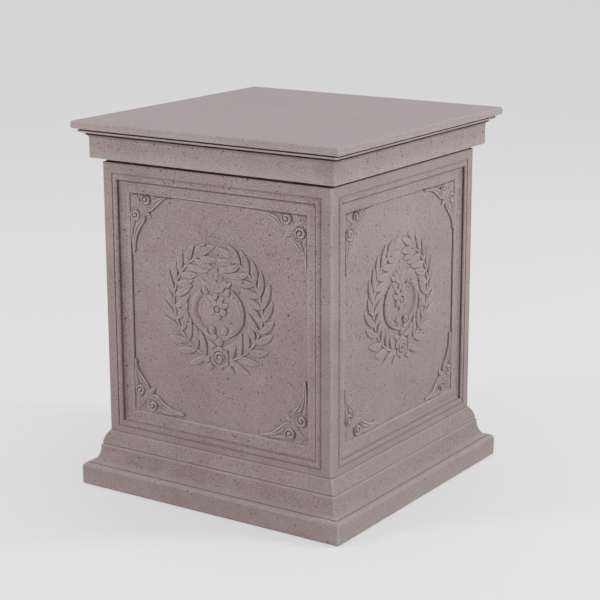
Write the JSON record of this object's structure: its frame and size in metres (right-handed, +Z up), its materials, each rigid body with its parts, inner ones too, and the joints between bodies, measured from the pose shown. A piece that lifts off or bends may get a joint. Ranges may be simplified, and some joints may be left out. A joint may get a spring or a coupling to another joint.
{
  "type": "statue pedestal",
  "caption": "Square cast stone pedestal for a statue, with moulded cap and base and a framed panel on each side carved with a laurel wreath, cartouche and corner scrolls.",
  "frame": {"origin": "middle of the underside, on the ground", "axes": "+Z up through the middle of the pedestal; -Y out of the front panel; X and Y square to the four sides"},
  "size_m": [0.508, 0.508, 0.61],
  "materials": {
    "cast_stone": "matt, fine pitted cast surface with grime in the hollows"
  },
  "bodies": {
    "root": {"pedestal": "cast_stone"}
  },
  "joints": []
}
